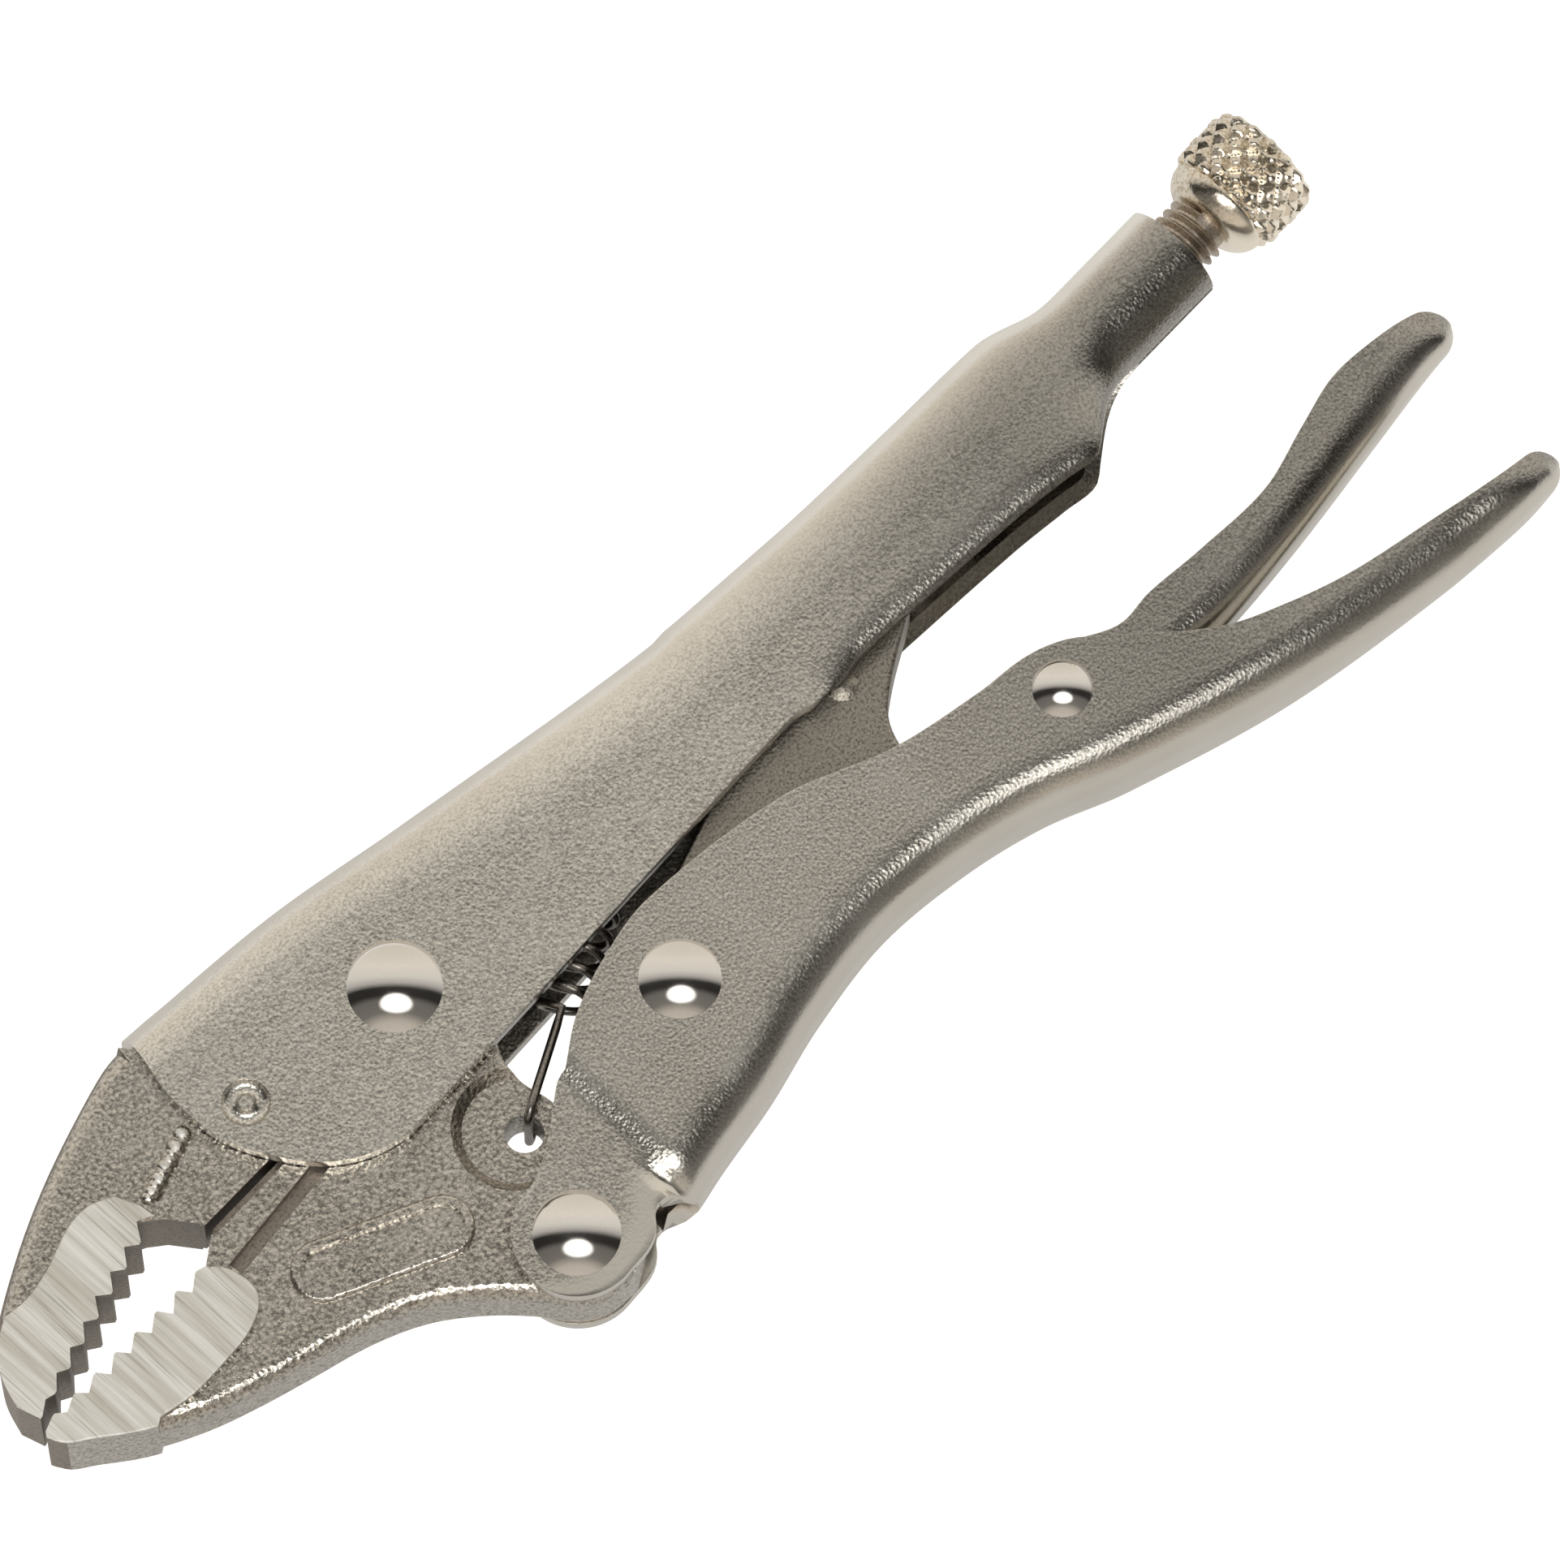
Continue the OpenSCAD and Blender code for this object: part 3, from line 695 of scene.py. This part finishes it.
boss_r, jaw_half = 13.6, 5.6
jaw_bore, lever_bore = 4.06, 3.46       # the rivets' shanks with 0.06 mm to turn in
lower_teeth = tooth_row((-119.0, 13.9), (-88.8, 13.6), 0)
lower_outer = through([(-119.5, 12.4), (-118.2, 10), (-115.4, 7.9), (-110.2, 3.9), (-103.3, 0.1),
                       (-96.4, -2.6), (-88.8, -5), (-80.2, -7.6), (-73, -11), (-67.2, -15.6),
                       (-62.8, -20.4), (-60.6, -23.6)], 4)
moving_outline = (arc(jaw_pivot, boss_r, 0, 198) + [(-84, 16.6), lower_in] + lower_teeth[::-1]
                  + lower_outer + arc(lever_pivot, 8.8, 218, 350)
                  + through([(-43.4, -15), (-42.3, -9), (-41.6, -4), (-42.4, 1), (-41.6, 5.5),
                             (-38, 9.5), (-34, 13)], 4))
moving_jaw = cut_plate("moving_jaw_forging", moving_outline, 2 * jaw_half)
break_rims(moving_jaw, 2.2, lambda x, y: y < 12.3 - (x + 119) * 0.25 and x < -52, 5)
break_rims(moving_jaw, 0.6, lambda x, y: x > -50 and y < 12, 2)
moving_pad = (through([(-88.8, 13.2), (-87, 10.8), (-86.5, 7), (-88.0, 4.5), (-91.8, 3), (-97, 2.6),
                       (-102.4, 2.6), (-107.4, 3.6)], 4)
              + [p for p in lower_outer if p[0] < -108.5][::-1] + lower_teeth)
nose = cut_plate("moving_nose", moving_pad[::-1], nose_thick)
break_rims(nose, 0.3, lambda x, y: y < 12.6 and x > -119, 2)
combine(moving_jaw, nose, "UNION")


def groove(body, a, b, width, depth, face):
    """Straight groove along a to b, cut into both sides of a body that is 2 * face thick."""
    lean = math.atan2(b[1] - a[1], b[0] - a[0])
    for side in (-1, 1):
        bpy.ops.object.select_all(action="DESELECT")
        bpy.ops.mesh.primitive_cube_add(size=1, location=(
            (a[0] + b[0]) / 2 * MM, (a[1] + b[1]) / 2 * MM, (MID + side * face) * MM))
        bar = bpy.context.object
        bar.rotation_euler.z = lean
        bar.scale = (math.dist(a, b) * MM, width * MM, 2 * depth * MM)
        combine(body, bar, "DIFFERENCE")


groove(moving_jaw, (-62, 16.8), (-85, 16.6), 2.2, 1.7, jaw_half)
groove(moving_jaw, (-66, 12.2), (-86.3, 10.4), 2.1, 1.6, jaw_half)


def oval(a, b, r):
    """Outline of a long round-ended pad between a and b."""
    lean = math.degrees(math.atan2(b[1] - a[1], b[0] - a[0]))
    return arc(a, r, lean + 90, lean + 270) + arc(b, r, lean - 90, lean + 90)


pad_ends = ((-78.8, 1.9), (-63.9, -5.3))
rim = cut_plate("oval_pad", oval(*pad_ends, 4.3), 13.2)
break_rims(rim, 0.6, lambda x, y: True, 3)
combine(moving_jaw, rim, "UNION")
for side in (-1, 1):
    floor = cut_plate("oval_floor", oval(*pad_ends, 3.0), 1.8)
    floor.location.z = side * 6.4 * MM
    combine(moving_jaw, floor, "DIFFERENCE")
spring_hole, recess = (-47.2, -4.2), (-47.8, -3.1)
for side in (-1, 1):
    bpy.ops.object.select_all(action="DESELECT")
    bpy.ops.mesh.primitive_cone_add(
        vertices=72, radius1=7.0 * MM, radius2=8.6 * MM, depth=1.6 * MM,
        location=(recess[0] * MM, recess[1] * MM, (MID + side * 5.0) * MM),
        rotation=((side < 0) * pi, 0, 0))
    combine(moving_jaw, bpy.context.object, "DIFFERENCE")
for at, r in ((spring_hole, 2.6), (jaw_pivot, jaw_bore), (lever_pivot, lever_bore)):
    combine(moving_jaw, pin(at, r), "DIFFERENCE")
settle(moving_jaw)
for finish in (jaw_plate, nose_steel, tooth_steel_and_painted_shade):
    moving_jaw.data.materials.append(finish)
finishes_and_painted_shade(moving_jaw, lambda x, y: y > 11.4 and x < -84)
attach(moving_jaw, "moving_jaw")
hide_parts("moving_jaw")

# ---- toggle link ----
# Thick pressed link with a soft bump, dull plated. Its rounded end bears on the tip of the screw.

toggle_pivot, link_end, link_end_r, link_thick = (-19, -5.5), (52, 16.5), 5, 8.4
link_outline = through([(-26.4, -7.5), (-24.6, -0.8), (-15, 3.4), (4, 9.6), (28, 17.2), (44, 21.2)]
                       + arc(link_end, link_end_r, 80, -80, 32)
                       + [(46, 11.6), (38.4, 7.4), (31.5, 3.6), (26.8, 0), (24.8, -4.4),
                          (24.4, -8.6), (20.5, -11.4), (8, -12.2), (-8, -12.8), (-19, -13),
                          (-26.4, -7.5)], 5)[:-1]
toggle_link = cut_plate("toggle_link_plate", link_outline[::-1], link_thick)
end_from = 40                   # from here on the rims are rounder, to swing clear of the handle
break_rims(toggle_link, 0.7, lambda x, y: x <= end_from, 3)
break_rims(toggle_link, 1.8, lambda x, y: x > end_from, 4)
for side in (-1, 1):
    bpy.ops.object.select_all(action="DESELECT")
    bpy.ops.mesh.primitive_uv_sphere_add(segments=64, ring_count=40, radius=4.4 * MM,
                                         location=(25.6 * MM, 7.2 * MM, (MID + side * 0.4) * MM))
    combine(toggle_link, bpy.context.object, "UNION")
combine(toggle_link, pin(toggle_pivot, lever_bore), "DIFFERENCE")
settle(toggle_link)
link_plate = nickel("link_dull_plate", (0.36, 0.335, 0.295), (0.18, 0.165, 0.14), 0.36, grain=0.7)
toggle_link.data.materials.append(link_plate)
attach(toggle_link, "toggle_link")
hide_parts("toggle_link")

# ---- adjusting screw ----
# Steel rod with a rolled right-hand thread, its tip facing the link's rounded end and its other end
# held in the knob.

thread_r, root_r, pitch = 4.7, 3.85, 1.5
screw_tip, knob_from = 61.5, 106.0
rod_end = knob_from + 10.4              # the rod ends inside the knob
bpy.ops.object.select_all(action="DESELECT")
bpy.ops.mesh.primitive_cylinder_add(
    vertices=48, radius=root_r * MM, depth=(rod_end - screw_tip) * MM,
    location=((rod_end + screw_tip) / 2 * MM, screw_y * MM, MID * MM), rotation=(0, pi / 2, 0))
screw = bpy.context.object
screw.name = screw.data.name = "screw_rod"
bpy.ops.object.transform_apply(location=True, rotation=True, scale=True)
bpy.ops.object.mode_set(mode="EDIT")
bpy.ops.mesh.select_mode(type="FACE")
bpy.ops.mesh.select_all(action="DESELECT")
bpy.ops.object.mode_set(mode="OBJECT")
for face in screw.data.polygons:
    face.select = face.normal.x < -0.9
bpy.ops.object.mode_set(mode="EDIT")
bpy.ops.mesh.bevel(offset=1.1 * MM, segments=3, affect="EDGES")
bpy.ops.mesh.select_mode(type="VERT")
bpy.ops.object.mode_set(mode="OBJECT")
bpy.ops.object.select_all(action="DESELECT")
bpy.ops.mesh.primitive_circle_add(vertices=8, radius=1, fill_type="NOTHING")
ridge = bpy.context.object
flank = [(-0.70, 3.70), (-0.46, 3.98), (-0.16, 4.56), (-0.06, thread_r), (0.06, thread_r),
         (0.16, 4.56), (0.46, 3.98), (0.70, 3.70)]
for v, (x, r) in zip(ridge.data.vertices, flank):
    v.co = ((screw_tip + 2 + x) * MM, 0, r * MM)
bpy.ops.object.modifier_add(type="SCREW")
winding = ridge.modifiers[-1]
winding.axis, winding.angle, winding.screw_offset = "X", 2 * pi, pitch * MM
winding.iterations = int((knob_from - screw_tip - 2.4) / pitch)
winding.steps = winding.render_steps = 40
bpy.ops.object.modifier_apply(modifier=winding.name)
ridge.location = (0, screw_y * MM, MID * MM)
bpy.ops.object.mode_set(mode="EDIT")
bpy.ops.mesh.select_all(action="SELECT")
bpy.ops.mesh.remove_doubles(threshold=1e-7)
bpy.ops.mesh.select_all(action="DESELECT")
bpy.ops.mesh.select_non_manifold()
bpy.ops.mesh.edge_face_add()
bpy.ops.mesh.select_all(action="SELECT")
bpy.ops.mesh.normals_make_consistent(inside=False)
bpy.ops.object.mode_set(mode="OBJECT")
screw.select_set(True)
bpy.context.view_layer.objects.active = screw
bpy.ops.object.join()
bpy.ops.object.transform_apply(location=True, rotation=True, scale=True)
bpy.ops.object.shade_smooth_by_angle(angle=radians(40))
screw.data.materials.append(nickel("screw_oiled_steel", (0.52, 0.46, 0.39), (0.30, 0.25, 0.2), 0.34,
                                   grain=0.25, fine=3200.0))
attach(screw, "adjusting_screw")
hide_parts("adjusting_screw")

# ---- knob ----
# Turned steel knob with a rolled diamond knurl and a smooth rounded collar, pressed on the rod.

knob_r = 8.5
knurls, knurl_deep = 15, 1.0
knurl_from, knurl_to = 3.7, 13.0
collar = [(0, 5.0), (0.25, 5.6), (0.8, 6.3), (1.6, 6.95), (2.5, 7.35), (3.2, 7.45), (3.6, 7.3)]
knurl_places = spaced(knurl_from, knurl_to, 0.21)
profile = through(collar, 4) + [(x, None) for x in knurl_places] + [(13.25, 6.0), (13.4, 5.2)]
around = knurls * 10
rows = []
for x, r in profile:
    ring = []
    for k in range(around + 1):
        a = 2 * pi * k / around
        here = r
        if r is None:                   # two crossing sets of ridges, rounded off at both shoulders
            run = (x - knurl_from) / (2 * pi * knob_r / knurls)
            lay = [abs(((knurls * a / (2 * pi) + way * run) % 1) - 0.5) * 2 for way in (-1, 1)]
            drop = sum(reach - sqrt(max(0.0, reach ** 2 - max(0.0, reach - gone) ** 2))
                       for reach, gone in ((1.5, x - knurl_from + 0.2), (2.4, knurl_to - x + 0.5)))
            here = knob_r - knurl_deep * (1 - min(1, 1.5 * (1 - max(lay)))) - drop
        ring.append((knob_from + x, screw_y + here * cos(a), here * sin(a)))
    rows.append(ring)
knob = sheet_from("knurled_knob", rows)
bpy.ops.object.mode_set(mode="EDIT")
bpy.ops.mesh.select_all(action="SELECT")
bpy.ops.mesh.remove_doubles(threshold=1e-6)
bpy.ops.mesh.select_all(action="DESELECT")
bpy.ops.mesh.select_non_manifold()
bpy.ops.mesh.edge_face_add()
bpy.ops.mesh.select_all(action="DESELECT")
bpy.ops.object.mode_set(mode="OBJECT")
knob.data.update()
turn_out(knob, lambda c: Vector((c.x - 0.1125, c.y - screw_y * MM, c.z - MID * MM)))
bpy.ops.object.shade_smooth_by_angle(angle=radians(32))
knob.data.materials.append(nickel("knob_bright_plate", (0.78, 0.72, 0.62), (0.55, 0.46, 0.33), 0.2,
                                  grain=0.35, fine=2200.0))
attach(knob, "screw_knob")
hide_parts("screw_knob")

# ---- return spring ----
# Oiled spring wire: 13 open coils, a hook through the moving jaw's ear and a tail that reaches back
# inside the handle.

spring_tab = (13, 27.4)
reach = math.dist(spring_hole, spring_tab)
pull = ((spring_tab[0] - spring_hole[0]) / reach, (spring_tab[1] - spring_hole[1]) / reach)
coil_from, coil_to, coils, coil_r, wire_r = 18, 57, 13, 3.3, 0.6
# Points along the wire: along the pull from the ear's hole, across it, and off the middle plane.
hook = through([(4.6, 0, -6.3), (2.6, 0, -6.3), (1.7, 0, -5.2), (1.6, 0, -2), (1.6, 0, 2),
                (1.7, 0, 5.2), (2.6, 0, 6.3), (4.6, 0, 6.2), (10, 0, 4.6), (15.4, 0, 3.2)], 4)
per_turn = 20
turns = [(coil_from + (coil_to - coil_from) * i / (per_turn * coils),
          coil_r * sin(2 * pi * i / per_turn), coil_r * cos(2 * pi * i / per_turn))
         for i in range(per_turn * coils + 1)]
tail = through([(58.4, 1.2, 1.6), (60.5, 0.4, 0.4), (63, 0, 0), (66, 0.6, 0)], 3)
wire = [((spring_hole[0] + u * pull[0] - v * pull[1]) * MM,
         (spring_hole[1] + u * pull[1] + v * pull[0]) * MM, (MID + w) * MM)
        for u, v, w in hook + turns + tail]
bpy.ops.object.select_all(action="DESELECT")
bpy.ops.curve.primitive_nurbs_path_add()
spring = bpy.context.object
spring.data.splines.clear()
line = spring.data.splines.new("POLY")
line.points.add(len(wire) - 1)
for point, at in zip(line.points, wire):
    point.co = (*at, 1)
spring.data.bevel_depth = wire_r * MM
spring.data.bevel_resolution = 3
spring.data.use_fill_caps = True
bpy.ops.object.convert(target="MESH")
spring = bpy.context.object
spring.name = spring.data.name = "return_coil"
bpy.ops.object.shade_smooth()
spring.data.materials.clear()
spring.data.materials.append(nickel("spring_oiled_wire", (0.30, 0.28, 0.26), (0.14, 0.13, 0.12),
                                    0.3, grain=0.2, fine=3000.0))
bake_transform(spring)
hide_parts("return_spring")

# ---- rivets ----
# Four bright plated rivets with domed heads, set cold through the sheet.

release_pivot = (44, -15)
rivet_plate = nickel("rivet_bright_plate", (0.80, 0.775, 0.74), (0.79, 0.765, 0.73), 0.09,
                     grain=0.03, deep=0.4, tarnish=0.1)


def rivet(name, node, body, at, shank_r, head_r, face, dome):
    """Shank and two heads: each head is a ball's cap, dome high, standing on the sheet's face."""
    ball_r = (head_r ** 2 + dome ** 2) / (2 * dome)
    made = pin(at, shank_r, MID - face - 0.3, MID + face + 0.3)
    made.name = made.data.name = name
    parts = [made]
    for side in (-1, 1):
        level = (MID + side * face) * MM
        bpy.ops.object.select_all(action="DESELECT")
        bpy.ops.mesh.primitive_uv_sphere_add(
            segments=64, ring_count=96, radius=ball_r * MM,
            location=(at[0] * MM, at[1] * MM, level - side * (ball_r - dome) * MM))
        head = bpy.context.object
        bpy.ops.object.mode_set(mode="EDIT")
        bpy.ops.mesh.select_all(action="SELECT")
        bpy.ops.mesh.bisect(plane_co=(at[0] * MM, at[1] * MM, level), plane_no=(0, 0, side),
                            use_fill=True, clear_inner=True)
        bpy.ops.object.mode_set(mode="OBJECT")
        parts.append(head)
    bpy.ops.object.select_all(action="DESELECT")
    for part in parts:
        part.select_set(True)
    bpy.context.view_layer.objects.active = made
    bpy.ops.object.join()
    bpy.ops.object.transform_apply(location=True, rotation=True, scale=True)
    bpy.ops.object.shade_smooth_by_angle(angle=radians(40))
    made.data.materials.append(rivet_plate)
    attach(made, body)
    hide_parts(node)


rivet("jaw_rivet", "jaw_pivot_rivet", "root", jaw_pivot, 4, 6.3, 8.4, 2.6)
rivet("lever_rivet", "lever_pivot_rivet", "lever", lever_pivot, 3.4, 5.8, ear_face, 2.4)
rivet("toggle_rivet", "toggle_pivot_rivet", "lever", toggle_pivot, 3.4, 5.5, 8.6, 2.2)
rivet("release_rivet", "release_pivot_rivet", "lever", release_pivot, 2.4, 4, 8.6, 1.8)
